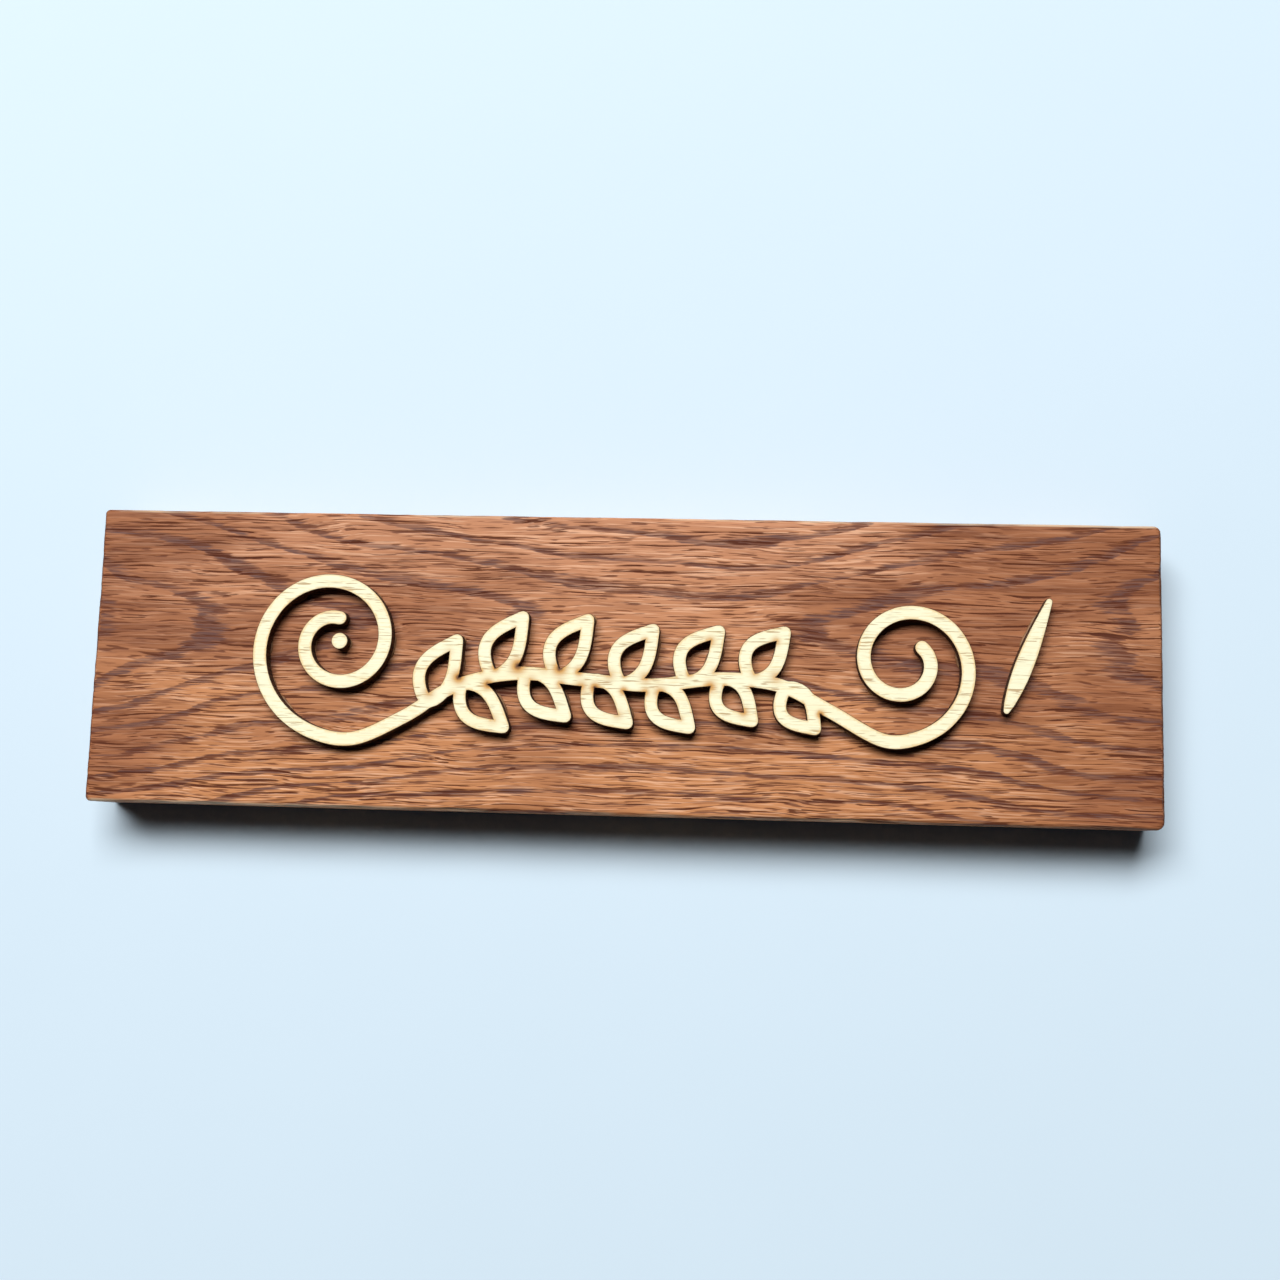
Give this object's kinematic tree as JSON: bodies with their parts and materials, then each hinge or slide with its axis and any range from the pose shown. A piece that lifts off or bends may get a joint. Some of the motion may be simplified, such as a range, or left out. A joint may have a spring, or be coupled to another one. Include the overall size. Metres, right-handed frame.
{
  "type": "wooden award plaque",
  "caption": "Rectangular stained-oak block plaque with pale laser-cut plywood ornament glued to its face; lies flat or stands on its long edge.",
  "frame": {"origin": "centre of the back face, the face that the plaque lies on", "axes": "+X along the board's length, left to right as the face is read; +Y up the face; +Z out of the front face"},
  "size_m": [0.25, 0.07, 0.0213],
  "materials": {
    "stained_oak": "stained and lightly oiled, open grain, eased edges",
    "pale_ply": "raw pale plywood, laser-cut, scorched edges",
    "dried_glue": "dried wood glue, a semi-clear amber that reads dark over the stained wood"
  },
  "bodies": {
    "root": {"plaque_board": "stained_oak", "sprig_cutout": "pale_ply", "accent_leaf_cutout": "pale_ply", "berry_cutout": "pale_ply", "sprig_glue": "dried_glue", "accent_leaf_glue": "dried_glue", "berry_glue": "dried_glue"}
  },
  "joints": []
}
